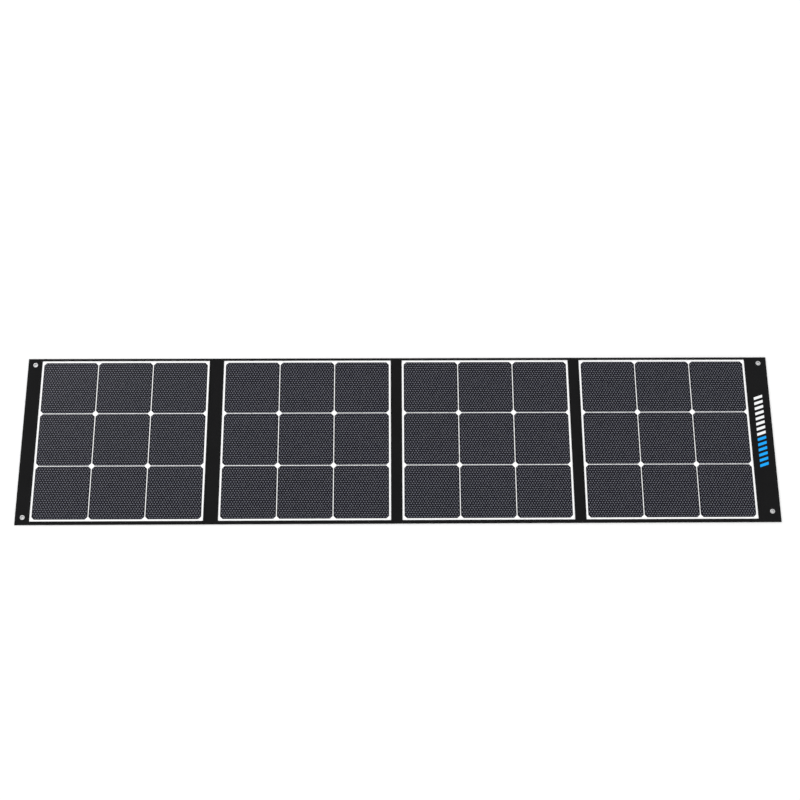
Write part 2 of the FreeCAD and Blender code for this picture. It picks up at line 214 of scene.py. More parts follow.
def calc(tree, operation, first, second=0.0, third=0.0):
    """The result of a maths node, whose inputs are sockets or numbers."""
    node = add(tree, "ShaderNodeMath", {"operation": operation})
    for socket, value in zip(node.inputs, (first, second, third)):
        wire(tree, socket, value)
    return node.outputs[0]


def blend_colours(tree, factor, first, second):
    node = add(tree, "ShaderNodeMix", {"data_type": "RGBA"}, Factor=factor)
    wire(tree, node.inputs[6], first)
    wire(tree, node.inputs[7], second)
    return node.outputs[2]


def noise(tree, vector, scale, detail=2.0, roughness=0.5):
    return add(tree, "ShaderNodeTexNoise", Vector=vector, Scale=scale, Detail=detail,
               Roughness=roughness).outputs["Fac"]


def ramp(tree, value, low, high):
    """A value taken from low..high to 0..1."""
    node = add(tree, "ShaderNodeMapRange", Value=value, From_Min=low, From_Max=high)
    return node.outputs["Result"]


def canvas_weave_group():
    """Plain weave on a flat-cloth UV map: over-and-under threads, slubs and dust; the threads in the Tone are
    painted shade, lighter on their crests and darker in the grooves between them.
    """
    tree, given, out = new_group(
        "canvas_weave",
        [("Vector", "Vector", None), ("Pitch", "Float", 0.0009)],
        [("Height", "Float"), ("Tone", "Float"), ("Dust", "Float")],
    )
    flat, pitch = given.outputs["Vector"], given.outputs["Pitch"]
    split = add(tree, "ShaderNodeSeparateXYZ", Vector=flat)
    ways = [calc(tree, "DIVIDE", split.outputs[axis], pitch) for axis in ("X", "Y")]
    odd = calc(tree, "ADD", *[calc(tree, "FLOOR", way) for way in ways])
    over = calc(tree, "GREATER_THAN", calc(tree, "FRACT", calc(tree, "MULTIPLY", odd, 0.5)), 0.25)
    waves = [calc(tree, "SINE", calc(tree, "MULTIPLY", way, math.pi)) for way in ways]
    across, along = (calc(tree, "ABSOLUTE", wave) for wave in waves)
    warp = calc(tree, "MULTIPLY", across, over)
    weft = calc(tree, "MULTIPLY", along, calc(tree, "SUBTRACT", 1.0, over))
    threads = calc(tree, "ADD", warp, weft)
    slub = noise(tree, flat, 420.0, 3.0)
    wire(tree, out.inputs["Height"], calc(tree, "MULTIPLY_ADD", slub, 0.35, threads))
    cloud = calc(tree, "MULTIPLY", noise(tree, flat, 9.0, 4.0, 0.6), 0.5)
    # Painted shade and highlight: the threads lighten the tone on their crests and darken it in the grooves
    # between them; the cloud is random tone.
    wire(tree, out.inputs["Tone"], calc(tree, "MULTIPLY_ADD", threads, 0.5, cloud))
    specks = ramp(tree, noise(tree, flat, 900.0, 1.0), 0.62, 0.8)
    patches = ramp(tree, noise(tree, flat, 14.0, 3.0), 0.45, 0.75)
    wire(tree, out.inputs["Dust"], calc(tree, "MULTIPLY", specks, patches))
    return tree


def surface_grain_group():
    """Fine mottling and slow shade changes for moulded, coated and metal surfaces."""
    tree, given, out = new_group(
        "surface_grain",
        [("Vector", "Vector", None), ("Grain", "Float", 1500.0),
         ("Cloud", "Float", 6.0)],
        [("Height", "Float"), ("Tone", "Float")],
    )
    fine = noise(tree, given.outputs["Vector"], given.outputs["Grain"], 2.0)
    slow = noise(tree, given.outputs["Vector"], given.outputs["Cloud"], 4.0, 0.55)
    wire(tree, out.inputs["Height"], fine)
    tone = calc(tree, "MULTIPLY_ADD", fine, 0.3, calc(tree, "MULTIPLY", slow, 0.7))
    wire(tree, out.inputs["Tone"], tone)
    return tree


GROUPS = {}


def use_group(tree, name, **inputs):
    """A node of one of the shader groups, which is made on first use."""
    makers = {"canvas_weave": canvas_weave_group, "surface_grain": surface_grain_group}
    if name not in GROUPS:
        GROUPS[name] = makers[name]()
    return add(tree, "ShaderNodeGroup", {"node_tree": GROUPS[name]}, **inputs)


def start_material(name, base, roughness, metallic=0.0, specular=0.5):
    material = bpy.data.materials.new(name)
    material.use_nodes = True
    shader = material.node_tree.nodes["Principled BSDF"]
    values = {"Base Color": (*base, 1), "Roughness": roughness, "Metallic": metallic,
              "Specular IOR Level": specular}
    for label, value in values.items():
        shader.inputs[label].default_value = value
    material.diffuse_color = (*base, 1)
    return material, material.node_tree, shader


def add_bump(tree, shader, height, strength, distance):
    bump = add(tree, "ShaderNodeBump", Strength=strength, Distance=distance, Height=height)
    wire(tree, shader.inputs["Normal"], bump.outputs["Normal"])


def shades(base, low, high):
    """A darker and a lighter shade of a colour, by factors."""
    return [(*(min(1.0, part * factor) for part in base), 1) for factor in (low, high)]


def mottled(tree, grain, cloud):
    """Surface grain in Object coordinates."""
    place = tree.nodes.new("ShaderNodeTexCoord")
    return use_group(tree, "surface_grain", Vector=place.outputs["Object"], Grain=grain,
                     Cloud=cloud)


def canvas_material(name, base, pitch):
    """Coated black canvas: weave from the flat-cloth UV map, with painted shade in the weave's tone, slight sheen
    and dust.
    """
    material, tree, shader = start_material(name, base, 0.82, specular=0.08)
    shader.inputs["Sheen Weight"].default_value = 0.03
    shader.inputs["Sheen Roughness"].default_value = 0.5
    shader.inputs["Sheen Tint"].default_value = (0.6, 0.62, 0.66, 1)
    flat = add(tree, "ShaderNodeUVMap", {"uv_map": "flat"})
    weave = use_group(tree, "canvas_weave", Vector=flat.outputs["UV"], Pitch=pitch)
    tone = weave.outputs["Tone"]
    # Painted shade: the weave's tone darkens the canvas in the grooves between threads and lightens it on their
    # crests.
    toned = blend_colours(tree, tone, *shades(base, 0.35, 1.75))
    dust = calc(tree, "MULTIPLY", weave.outputs["Dust"], 0.25)
    dusty = blend_colours(tree, dust, toned, (0.12, 0.12, 0.115, 1))
    wire(tree, shader.inputs["Base Color"], dusty)
    wire(tree, shader.inputs["Roughness"], calc(tree, "MULTIPLY_ADD", tone, 0.18, 0.72))
    add_bump(tree, shader, weave.outputs["Height"], 0.7, 0.16 * MM)
    return material


def grained_material(name, base, roughness, metallic=0.0, specular=0.5, spread=0.2,
                     grain=1500.0, cloud=6.0, bump=0.05):
    """A surface with fine grain, slow tone changes and uneven gloss, in Object coordinates."""
    material, tree, shader = start_material(name, base, roughness, metallic, specular)
    mottle = mottled(tree, grain, cloud)
    tone = mottle.outputs["Tone"]
    toned = blend_colours(tree, tone, *shades(base, 1 - spread, 1 + spread))
    wire(tree, shader.inputs["Base Color"], toned)
    uneven = calc(tree, "MULTIPLY_ADD", tone, 0.16, roughness - 0.08)
    wire(tree, shader.inputs["Roughness"], uneven)
    add_bump(tree, shader, mottle.outputs["Height"], 0.4, bump * MM)
    return material


MATERIALS = {}


def finish_of(name):
    """One of the blanket's materials, made on first use."""
    if name not in MATERIALS:
        cloth = settings_of("cloth")
        panel = settings_of("panels")
        fitting = settings_of("fittings")
        special = {
            "front_canvas": lambda: canvas_material(name, cloth.canvas, cloth.thread_pitch),
            "rear_canvas": lambda: canvas_material(name, cloth.canvas, 1.15 * cloth.thread_pitch),
            "clear_film": clear_film_material,
            "embossed_dot": embossed_dot_material,
        }
        # colour, roughness, and what differs from a plain grained surface
        grained = {
            "sewing_thread": (cloth.thread, 0.7, dict(specular=0.15, grain=3000.0)),
            "dark_cell": (panel.cell, 0.34, dict(
                specular=0.1, spread=0.45, grain=700.0, cloud=4.0, bump=0.01)),
            "white_backing": (panel.backing, 0.55, dict(specular=0.3, spread=0.03)),
            "glass_board": ((0.38, 0.42, 0.26), 0.6, dict(spread=0.18, grain=900.0, cloud=40.0)),
            "black_moulding": ((0.02, 0.02, 0.021), 0.5, dict(spread=0.25, grain=2200.0)),
            "terminal_brass": ((0.72, 0.53, 0.24), 0.35, dict(metallic=1.0, grain=2600.0)),
            "diode_case": ((0.014, 0.014, 0.014), 0.4, dict(spread=0.2, grain=2400.0)),
            "tinned_ribbon": ((0.70, 0.70, 0.68), 0.38, dict(metallic=1.0, grain=1800.0)),
            "lead_jacket": ((0.016, 0.016, 0.016), 0.6, dict(spread=0.2, grain=1600.0)),
            "liner_strip": ((0.09, 0.09, 0.09), 0.6, dict(spread=0.15, grain=1200.0)),
            "plated_eyelet": (fitting.metal, 0.26, dict(
                metallic=1.0, spread=0.1, grain=2500.0, cloud=120.0, bump=0.01)),
            "outlet_rubber": ((0.018, 0.018, 0.0185), 0.72, dict(specular=0.25, grain=2000.0)),
            "print_white": (fitting.print_white, 0.5, dict(
                specular=0.2, spread=0.05, grain=1400.0)),
            "print_blue": (fitting.print_blue, 0.5, dict(
                specular=0.2, spread=0.12, grain=1400.0)),
        }
        if name in special:
            MATERIALS[name] = special[name]()
        else:
            base, roughness, rest = grained[name]
            MATERIALS[name] = grained_material(name, base, roughness, **rest)
    return MATERIALS[name]


def clear_film_material():
    """Clear film: see-through, with a satin reflection that grows at low angles."""
    panel = settings_of("panels")
    material, tree, shader = start_material("clear_film", (0.8, 0.82, 0.86), 0.3)
    mottle = mottled(tree, 260.0, 3.0)
    tree.nodes.remove(shader)
    clear = tree.nodes.new("ShaderNodeBsdfTransparent")
    roughness = calc(tree, "MULTIPLY_ADD", mottle.outputs["Tone"], 0.12, 0.24)
    satin = add(tree, "ShaderNodeBsdfGlossy", Roughness=roughness)
    add_bump(tree, satin, mottle.outputs["Height"], 0.25, 0.02 * MM)
    fresnel = add(tree, "ShaderNodeFresnel", IOR=1.4)
    side = tree.nodes.new("ShaderNodeNewGeometry")
    outside = calc(tree, "SUBTRACT", 1.0, side.outputs["Backfacing"])
    gloss = calc(tree, "MULTIPLY", fresnel.outputs["Fac"], panel.gloss)
    both = add(tree, "ShaderNodeMixShader", Fac=calc(tree, "MULTIPLY", gloss, outside))
    tree.links.new(clear.outputs[0], both.inputs[1])
    tree.links.new(satin.outputs[0], both.inputs[2])
    tree.links.new(both.outputs[0], tree.nodes["Material Output"].inputs["Surface"])
    material.surface_render_method = "BLENDED"
    return material


def embossed_dot_material():
    """The film's embossed dots, in painted light: a pale painted highlight on top that fades to the cell's dark
    colour round their feet, as painted shade of a dome.
    """
    panel = settings_of("panels")
    material = grained_material("embossed_dot", panel.dot, 0.4, specular=0.12, spread=0.1,
                                cloud=5.0, bump=0.01)
    tree = material.node_tree
    shader = tree.nodes["Principled BSDF"]
    grained = shader.inputs["Base Color"].links[0].from_socket
    rise = add(tree, "ShaderNodeAttribute", {"attribute_name": "rise"})
    # Painted shade: the colour goes from the cell's colour at a dot's foot to the pale painted highlight at its
    # top.
    height = calc(tree, "POWER", calc(tree, "MAXIMUM", rise.outputs["Fac"], 0.0), 1.6)
    painted_dome_shade = blend_colours(tree, height, (*panel.cell, 1), grained)
    wire(tree, shader.inputs["Base Color"], painted_dome_shade)
    return material


# --- mesh helpers --------------------------------------------------------------------------

def new_object(name, data):
    """An object in the scene."""
    made = bpy.data.objects.new(name, data)
    bpy.context.scene.collection.objects.link(made)
    return made


def new_piece(name, mesh, material, smooth=True):
    mesh.materials.clear()
    mesh.materials.append(finish_of(material))
    mesh.polygons.foreach_set("use_smooth", [smooth] * len(mesh.polygons))
    return new_object(name, mesh)


def baked(piece):
    """Replace a piece's modifiers by the mesh that they give."""
    bpy.context.view_layer.update()
    seen = piece.evaluated_get(bpy.context.evaluated_depsgraph_get())
    mesh = bpy.data.meshes.new_from_object(seen, preserve_all_data_layers=True,
                                           depsgraph=bpy.context.evaluated_depsgraph_get())
    piece.modifiers.clear()
    piece.data = mesh
    return piece


def walled(piece, thickness, side):
    """Turn a sheet into a closed wall, on one side of it."""
    wall = piece.modifiers.new("wall", "SOLIDIFY")
    wall.thickness = thickness
    wall.offset = side
    return baked(piece)


def closed_mesh(name, points, faces):
    """A closed mesh whose faces all look outward."""
    mesh = bpy.data.meshes.new(name)
    mesh.from_pydata(points, [], faces)
    shape = bmesh.new()
    shape.from_mesh(mesh)
    bmesh.ops.recalc_face_normals(shape, faces=shape.faces)
    shape.to_mesh(mesh)
    shape.free()
    return mesh


def add_bar(points, faces, rings):
    """Add a closed bar to a mesh's points and faces, through rings of points."""
    first, count = len(points), len(rings[0])
    for ring in rings:
        points += ring
    last = first + (len(rings) - 1) * count
    for a in range(first, last, count):
        for k in range(count):
            beside = (k + 1) % count
            faces.append((a + k, a + beside, a + count + beside, a + count + k))
    faces += [tuple(range(first, first + count)), tuple(range(last, last + count))]


def ease(value):
    """Smooth step from 0 to 1."""
    value = np.clip(value, 0, 1)
    return value * value * (3 - 2 * value)


def grid_mesh(name, xs, ys, place):
    """A sheet of quads over x and y lines; place gives the 3D points, and UV is the flat cloth."""
    across, along = np.meshgrid(xs, ys)
    points = place(across.ravel(), along.ravel())
    width = len(xs)
    faces = [
        (row * width + column, row * width + column + 1,
         (row + 1) * width + column + 1, (row + 1) * width + column)
        for row in range(len(ys) - 1) for column in range(width - 1)
    ]
    mesh = bpy.data.meshes.new(name)
    mesh.from_pydata([tuple(point) for point in points], [], faces)
    layer = mesh.uv_layers.new(name="flat")
    flat = np.column_stack((across.ravel(), along.ravel()))
    corners = np.zeros(len(mesh.loops), np.int32)
    mesh.loops.foreach_get("vertex_index", corners)
    layer.data.foreach_set("uv", flat[corners].ravel())
    return mesh


def lines_between(low, high, step, *fine):
    """Grid lines from low to high, with closer lines in each (start, end, step) stretch."""
    stops = {low, high}
    count = max(1, round((high - low) / step))
    stops.update(low + (high - low) * k / count for k in range(count + 1))
    for start, end, close in fine:
        start, end = max(low, min(start, end)), min(high, max(start, end))
        if end > start:
            near = max(1, round((end - start) / close))
            stops.update(start + (end - start) * k / near for k in range(near + 1))
    kept = []
    for stop in sorted(stops):
        if not kept or stop - kept[-1] > SAME_LINE:
            kept.append(stop)
    return np.array(kept)


# --- the shape of the cloth ----------------------------------------------------------------

def tuck():
    return settings_of("cloth").tuck


def window(leaf):
    """The visible laminate of a leaf: its lowest and highest x, and its half width."""
    low, high = LAMINATE[leaf]
    return low.x + tuck(), high.x - tuck(), high.y - tuck()


def cloth_height(x, y):
    """Top of the front cloth: over the laminates' edges, down a slope, flat, then the hem."""
    cloth = settings_of("cloth")
    outside = np.full(len(x), 1.0)
    for low, high in LAMINATE.values():
        gap_x = np.maximum(low.x - x, x - high.x)
        gap_y = np.maximum(low.y - y, y - high.y)
        both = np.hypot(np.maximum(gap_x, 0), np.maximum(gap_y, 0))
        here = np.where((gap_x < 0) & (gap_y < 0), np.maximum(gap_x, gap_y), both)
        outside = np.minimum(outside, here)
    drop = LEAF_TOP - SKIRT_TOP
    height = LEAF_TOP - drop * ease(outside / cloth.slope)
    loose = ease((outside - cloth.slope) / (8 * MM))
    ripple = np.sin(31 * x + 5 * np.sin(17 * y)) * np.cos(23 * y + 3 * np.sin(11 * x))
    height = height + loose * cloth.ripple * (0.5 * ripple - 0.5)
    rolled = np.clip((outside + tuck()) / (0.8 * MM), 0, 1)
    height = height - 0.35 * MM * (1 - rolled) ** 2
    edge = np.minimum.reduce([x - LOW.x, HIGH.x - x, y - LOW.y, HIGH.y - y])
    turn = np.clip(1 - edge / cloth.hem_round, 0, 1)
    return height - cloth.hem_round * (1 - np.sqrt(np.maximum(0, 1 - turn * turn)))


def hem_lines(low, high, limit_low, limit_high, step, *fine):
    """Grid lines for one direction, closer at the hems, with a last line for the turned side."""
    cloth = settings_of("cloth")
    hems = []
    if abs(low - limit_low) < MM:
        hems.append((low, low + 1.2 * cloth.hem_round, 0.2 * MM))
    if abs(high - limit_high) < MM:
        hems.append((high - 1.2 * cloth.hem_round, high, 0.2 * MM))
    lines = lines_between(low, high, step, *hems, *fine)
    if abs(low - limit_low) < MM:
        lines = np.concatenate([[low - 2 * MM, low - MM], lines])
    if abs(high - limit_high) < MM:
        lines = np.concatenate([lines, [high + MM, high + 2 * MM]])
    return lines


def front_place(x, y):
    """Points of the front cloth's top; lines past the blanket's edge run down its side."""
    over = np.maximum.reduce([LOW.x - x, x - HIGH.x, LOW.y - y, y - HIGH.y, np.zeros(len(x))])
    inside_x = np.clip(x, LOW.x, HIGH.x)
    inside_y = np.clip(y, LOW.y, HIGH.y)
    height = cloth_height(inside_x, inside_y)
    share = np.clip(over / (2 * MM), 0, 1)
    return np.column_stack((inside_x, inside_y, height * (1 - share) + 0.05 * MM * share))


def slope_spans(low, high):
    """Fine stretches over the slope and the rolled edge just outside and inside a laminate."""
    cloth = settings_of("cloth")
    return [
        (low - 1.1 * cloth.slope, low + 0.2 * MM, 0.45 * MM),
        (low + tuck() - 0.9 * MM, low + tuck(), 0.22 * MM),
        (high - 0.2 * MM, high + 1.1 * cloth.slope, 0.45 * MM),
        (high - tuck(), high - tuck() + 0.9 * MM, 0.22 * MM),
    ]


def front_strip(name, low_x, high_x, low_y, high_y, step=9 * MM):
    """A closed strip of front cloth over a rectangle of the blanket."""
    spans_x = [span for low, high in LAMINATE.values() for span in slope_spans(low.x, high.x)]
    low, high = LAMINATE[1]
    spans_y = slope_spans(low.y, high.y)
    xs = hem_lines(low_x, high_x, LOW.x, HIGH.x, step, *spans_x)
    ys = hem_lines(low_y, high_y, LOW.y, HIGH.y, 9 * MM, *spans_y)
    piece = new_piece(name, grid_mesh(name, xs, ys, front_place), "front_canvas")
    corners = piece.modifiers.new("corners", "WELD")
    corners.merge_threshold = SAME_LINE
    return walled(piece, WALL, -1)


def rear_strip(name, low_x, high_x, step=8 * MM):
    """A closed strip of rear cloth, inside the front cloth's hems."""
    inset = CLOTH
    low_x = max(low_x, LOW.x + inset)
    high_x = min(high_x, HIGH.x - inset)
    xs = lines_between(low_x, high_x, step)
    ys = lines_between(LOW.y + inset, HIGH.y - inset, 8 * MM)

    def place(x, y):
        cloth = settings_of("cloth")
        swell = np.sin(27 * x + 4 * np.sin(13 * y)) * np.cos(19 * y + 3 * np.sin(9 * x))
        edge = np.minimum.reduce([y - ys[0], ys[-1] - y])
        lift = 0.6 * cloth.ripple * (0.5 + 0.5 * swell)
        return np.column_stack((x, y, lift * ease(edge / (15 * MM))))

    piece = new_piece(name, grid_mesh(name, xs, ys, place), "rear_canvas")
    return walled(piece, WALL, 1)


# --- geometry nodes ------------------------------------------------------------------------

def geometry_tree(name, inputs):
    """An empty geometry tree with named inputs after the geometry."""
    tree = bpy.data.node_groups.new(name, "GeometryNodeTree")
    tree.interface.new_socket("Geometry", in_out="INPUT", socket_type="NodeSocketGeometry")
    for label, kind in inputs:
        tree.interface.new_socket(label, in_out="INPUT", socket_type=f"NodeSocket{kind}")
    tree.interface.new_socket("Geometry", in_out="OUTPUT", socket_type="NodeSocketGeometry")
    return tree, tree.nodes.new("NodeGroupInput"), tree.nodes.new("NodeGroupOutput")


def varied_scale(tree, given, low, high, base):
    """A random scale per point, with the tree's Seed, times a base vector."""
    random = tree.nodes.new("FunctionNodeRandomValue")
    random.data_type = "FLOAT"
    random.inputs[2].default_value = low
    random.inputs[3].default_value = high
    tree.links.new(given.outputs["Seed"], random.inputs["Seed"])
    scaled = add(tree, "ShaderNodeVectorMath", {"operation": "SCALE"}, Vector=base,
                 Scale=random.outputs[1])
    return scaled.outputs[0]


def finish_tree(tree, given, out, geometry):
    """Turn instances into a plain mesh with smooth shading and the given material."""
    real = add(tree, "GeometryNodeRealizeInstances", Geometry=geometry)
    smooth = add(tree, "GeometryNodeSetShadeSmooth", Geometry=real.outputs[0])
    paint = add(tree, "GeometryNodeSetMaterial", Geometry=smooth.outputs[0],
                Material=given.outputs["Material"])
    tree.links.new(paint.outputs[0], out.inputs["Geometry"])


def dimple_tree():
    """Staggered rows of low round bumps over a rectangle."""
    tree, given, out = geometry_tree("embossed_dots", [
        ("Columns", "Int"), ("Rows", "Int"), ("Pitch", "Float"),
        ("Width", "Float"), ("Height", "Float"), ("Place", "Vector"),
        ("Cell Side", "Float"), ("Cell Gap", "Float"),
        ("Corner Cut", "Float"), ("Seed", "Int"),
        ("Material", "Material"),
    ])
    pitch, side, columns, rows, width = (
        given.outputs[name] for name in ("Pitch", "Cell Side", "Columns", "Rows", "Width"))
    row_gap = calc(tree, "MULTIPLY", pitch, math.sqrt(3))
    joined = tree.nodes.new("GeometryNodeJoinGeometry")
    for share in (-0.25, 0.25):
        grid = add(tree, "GeometryNodeMeshGrid", Vertices_X=columns, Vertices_Y=rows,
                   Size_X=calc(tree, "MULTIPLY", calc(tree, "SUBTRACT", columns, 1), pitch),
                   Size_Y=calc(tree, "MULTIPLY", calc(tree, "SUBTRACT", rows, 1), row_gap))
        offset = add(tree, "ShaderNodeCombineXYZ", X=calc(tree, "MULTIPLY", pitch, share),
                     Y=calc(tree, "MULTIPLY", row_gap, share))
        moved = add(tree, "GeometryNodeTransform", Geometry=grid.outputs["Mesh"],
                    Translation=offset.outputs[0])
        tree.links.new(moved.outputs[0], joined.inputs[0])
    # Points that aren't over a cell are taken out; the cells have cut corners.
    step = calc(tree, "ADD", side, given.outputs["Cell Gap"])
    where = tree.nodes.new("GeometryNodeInputPosition")
    parts = add(tree, "ShaderNodeSeparateXYZ", Vector=where.outputs[0])
    off_centre = []
    for axis in ("X", "Y"):
        part = parts.outputs[axis]
        centre = calc(tree, "MULTIPLY", calc(tree, "ROUND", calc(tree, "DIVIDE", part, step)), step)
        off_centre.append(calc(tree, "ABSOLUTE", calc(tree, "SUBTRACT", part, centre)))
    inner_side = calc(tree, "MULTIPLY_ADD", width, -0.5, side)
    beyond_side = calc(tree, "GREATER_THAN", calc(tree, "MAXIMUM", *off_centre),
                       calc(tree, "MULTIPLY", inner_side, 0.5))
    beyond_cut = calc(tree, "GREATER_THAN", calc(tree, "ADD", *off_centre),
                      calc(tree, "SUBTRACT", inner_side, given.outputs["Corner Cut"]))
    points = {"domain": "POINT"}
    kept = add(tree, "GeometryNodeDeleteGeometry", points, Geometry=joined.outputs[0],
               Selection=calc(tree, "MAXIMUM", beyond_side, beyond_cut))
    placed = add(tree, "GeometryNodeTransform", Geometry=kept.outputs[0],
                 Translation=given.outputs["Place"])
    dome = add(tree, "GeometryNodeMeshUVSphere", Segments=8, Rings=6, Radius=1)
    level = add(tree, "ShaderNodeSeparateXYZ", Vector=where.outputs[0])
    cap = add(tree, "GeometryNodeDeleteGeometry", points, Geometry=dome.outputs["Mesh"],
              Selection=calc(tree, "LESS_THAN", level.outputs["Z"], -0.1))
    rise = add(tree, "GeometryNodeStoreNamedAttribute", {"data_type": "FLOAT", **points},
               Geometry=cap.outputs[0], Name="rise", Value=level.outputs["Z"])
    half_width = calc(tree, "MULTIPLY", width, 0.5)
    size = add(tree, "ShaderNodeCombineXYZ", X=half_width, Y=half_width, Z=given.outputs["Height"])
    spread = add(tree, "GeometryNodeInstanceOnPoints", Points=placed.outputs[0],
                 Instance=rise.outputs[0],
                 Scale=varied_scale(tree, given, 0.94, 1.06, size.outputs[0]))
    finish_tree(tree, given, out, spread.outputs["Instances"])
    return tree


def stitch_tree():
    """Evenly spaced stitches along guide lines, each turned along its seam."""
    tree, given, out = geometry_tree("seam_stitches", [
        ("Pitch", "Float"), ("Length", "Float"), ("Width", "Float"),
        ("Seed", "Int"), ("Material", "Material"),
    ])
    seam = add(tree, "GeometryNodeMeshToCurve", Mesh=given.outputs["Geometry"])
    even = add(tree, "GeometryNodeResampleCurve", {"mode": "LENGTH"}, Curve=seam.outputs["Curve"],
               Length=given.outputs["Pitch"])
    along = tree.nodes.new("GeometryNodeInputTangent")
    turn = add(tree, "FunctionNodeAlignRotationToVector", {"axis": "X"},
               Vector=along.outputs["Tangent"])
    bead = add(tree, "GeometryNodeMeshIcoSphere", Radius=0.5, Subdivisions=1)
    size = add(tree, "ShaderNodeCombineXYZ", X=given.outputs["Length"], Y=given.outputs["Width"],
               Z=calc(tree, "MULTIPLY", given.outputs["Width"], 0.7))
    spread = add(tree, "GeometryNodeInstanceOnPoints", Points=even.outputs["Curve"],
                 Instance=bead.outputs["Mesh"], Rotation=turn.outputs["Rotation"],
                 Scale=varied_scale(tree, given, 0.93, 1.07, size.outputs[0]))
    finish_tree(tree, given, out, spread.outputs["Instances"])
    return tree


def grown(name, guide, maker, values, material):
    """A piece that a geometry tree makes from a guide mesh, turned into a plain mesh."""
    if maker.__name__ not in GROUPS:
        GROUPS[maker.__name__] = maker()
    tree = GROUPS[maker.__name__]
    piece = new_object(name, guide)
    modifier = piece.modifiers.new("grow", "NODES")
    modifier.node_group = tree
    sockets = {item.name: item.identifier for item in tree.interface.items_tree
               if item.in_out == "INPUT"}
    for label, value in {**values, "Material": finish_of(material)}.items():
        modifier[sockets[label]] = value
    baked(piece)
    if len(piece.data.polygons) == 0:
        raise RuntimeError(f"{name} came out empty")
    return piece


# --- pieces --------------------------------------------------------------------------------

def stand_for(nodes):
    """Hide the nodes that the piece replaces."""
    if nodes:
        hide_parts(*nodes)


def attach(piece, body, slot_name, *nodes):
    """The piece rides on a leaf, and stands for the nodes."""
    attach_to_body(piece, body)
    stand_for(nodes)


def attach_fold(piece, fold, slot_name, *nodes):
    """The piece stays as it lies over the cloth between the laminates of a fold's two leaves: its transform is
    baked, and it stands for the nodes.

    A half turn about +Y or -Y ends in the same place, so the ends on the two leaves are put in the order that has
    the cloth turn the fold's own way about +Y; nothing uses these ends, and the piece does not bend.
    """
    first, second = fold_leaves(fold)
    low, high = fold_span(fold)
    short = BEND_SHORT.get(fold, 0)
    ends = [(f"leaf_{first}", low + short), (f"leaf_{second}", high - short)]
    if JOINTS[fold]["axis"][1] < 0:
        ends.reverse()
    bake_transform(piece)
    stand_for(nodes)


def fold_leaves(fold):
    """Numbers of the two leaves beside a fold."""
    first = FOLDS.index(fold) + 1
    return first, first + 1


def fold_span(fold):
    """X where the two laminates beside a fold end."""
    first, second = fold_leaves(fold)
    return LAMINATE[first][1].x, LAMINATE[second][0].x


def cut_round(piece, spots):
    """Cut round upright holes; spots are (x, y, radius)."""
    mesh = bpy.data.meshes.new("cutter")
    shape = bmesh.new()
    for x, y, radius in spots:
        made = bmesh.ops.create_cone(shape, cap_ends=True, segments=40, radius1=radius,
                                     radius2=radius, depth=30 * MM)
        bmesh.ops.translate(shape, verts=made["verts"], vec=(x, y, 0))
    shape.to_mesh(mesh)
    shape.free()
    cutter = new_object("cutter", mesh)
    hole = piece.modifiers.new("hole", "BOOLEAN")
    hole.operation = "DIFFERENCE"
    hole.solver = "EXACT"
    hole.object = cutter
    baked(piece)
    bpy.data.objects.remove(cutter)
    bpy.data.meshes.remove(mesh)


def spots_of(side):
    """Centres of a side's far and near eyelet, from their mounts."""
    mounts = {mount["name"]: mount for mount in frame["record"]["mounts"]}
    return [tuple(mounts[f"{place}_{side}_eyelet"]["pos_m"][:2]) for place in ("far", "near")]


def lathe(name, profile, spots, material, segments=56):
    """Closed rings turned about upright axes; profile is a closed list of (radius, z)."""
    points, faces = [], []
    for x, y in spots:
        first = len(points)
        for step in range(segments):
            angle = 2 * math.pi * step / segments
            points += [(x + r * math.cos(angle), y + r * math.sin(angle), z) for r, z in profile]
        count = len(profile)
        for step in range(segments):
            here, there = first + step * count, first + (step + 1) % segments * count
            faces += [(here + k, here + (k + 1) % count, there + (k + 1) % count, there + k)
                      for k in range(count)]
    return new_piece(name, closed_mesh(name, points, faces), material)


def seam_guide(name, seams):
    """Guide lines of a group of seams; each seam is (start, end, underside)."""
    points, edges = [], []
    for start, end, underside in seams:
        count = max(2, round(math.dist(start, end) / (3 * MM)))
        share = np.linspace(0, 1, count + 1)
        x = start[0] + (end[0] - start[0]) * share
        y = start[1] + (end[1] - start[1]) * share
        z = np.full(len(x), 0.06 * MM) if underside else cloth_height(x, y) + 0.06 * MM
        first = len(points)
        points += [tuple(point) for point in np.column_stack((x, y, z))]
        edges += [(first + k, first + k + 1) for k in range(count)]
    mesh = bpy.data.meshes.new(name)
    mesh.from_pydata(points, edges, [])
    return mesh


def sewn(name, seams, seed):
    """The stitches of a group of seams."""
    cloth = settings_of("cloth")
    values = {"Pitch": cloth.stitch_pitch, "Length": cloth.stitch_length,
              "Width": cloth.stitch_width, "Seed": seed}
    return grown(name, seam_guide(name, seams), stitch_tree, values, "sewing_thread")


def make_front_cloth():
    """Front cloth: both margins, the strips beside the laminates and the cloth over the folds."""
    for side, leaf in ENDS.items():
        low, high, _ = window(leaf)
        span = (LOW.x, low) if side == "left" else (high, HIGH.x)
        piece = front_strip(f"margin_cloth_{side}", *span, LOW.y, HIGH.y)
        cut_round(piece, [(x, y, BARREL) for x, y in spots_of(side)])
        attach(piece, f"leaf_{leaf}", "front_cloth", f"front_cover_{leaf}")
    for leaf in LEAVES:
        low, high, half = window(leaf)
        for side, span in (("near", (LOW.y, -half)), ("far", (half, HIGH.y))):
            piece = front_strip(f"side_cloth_{leaf}_{side}", low, high, *span)
            attach(piece, f"leaf_{leaf}", "front_cloth", f"front_cover_{leaf}")
    for fold in FOLDS:
        first, second = fold_leaves(fold)
        low, high = window(first)[1], window(second)[0]
        piece = front_strip(f"{fold}_cloth", low, high, LOW.y, HIGH.y, step=FOLD_STEP)
        attach_fold(piece, fold, "front_cloth", f"front_cover_{first}", f"front_cover_{second}")


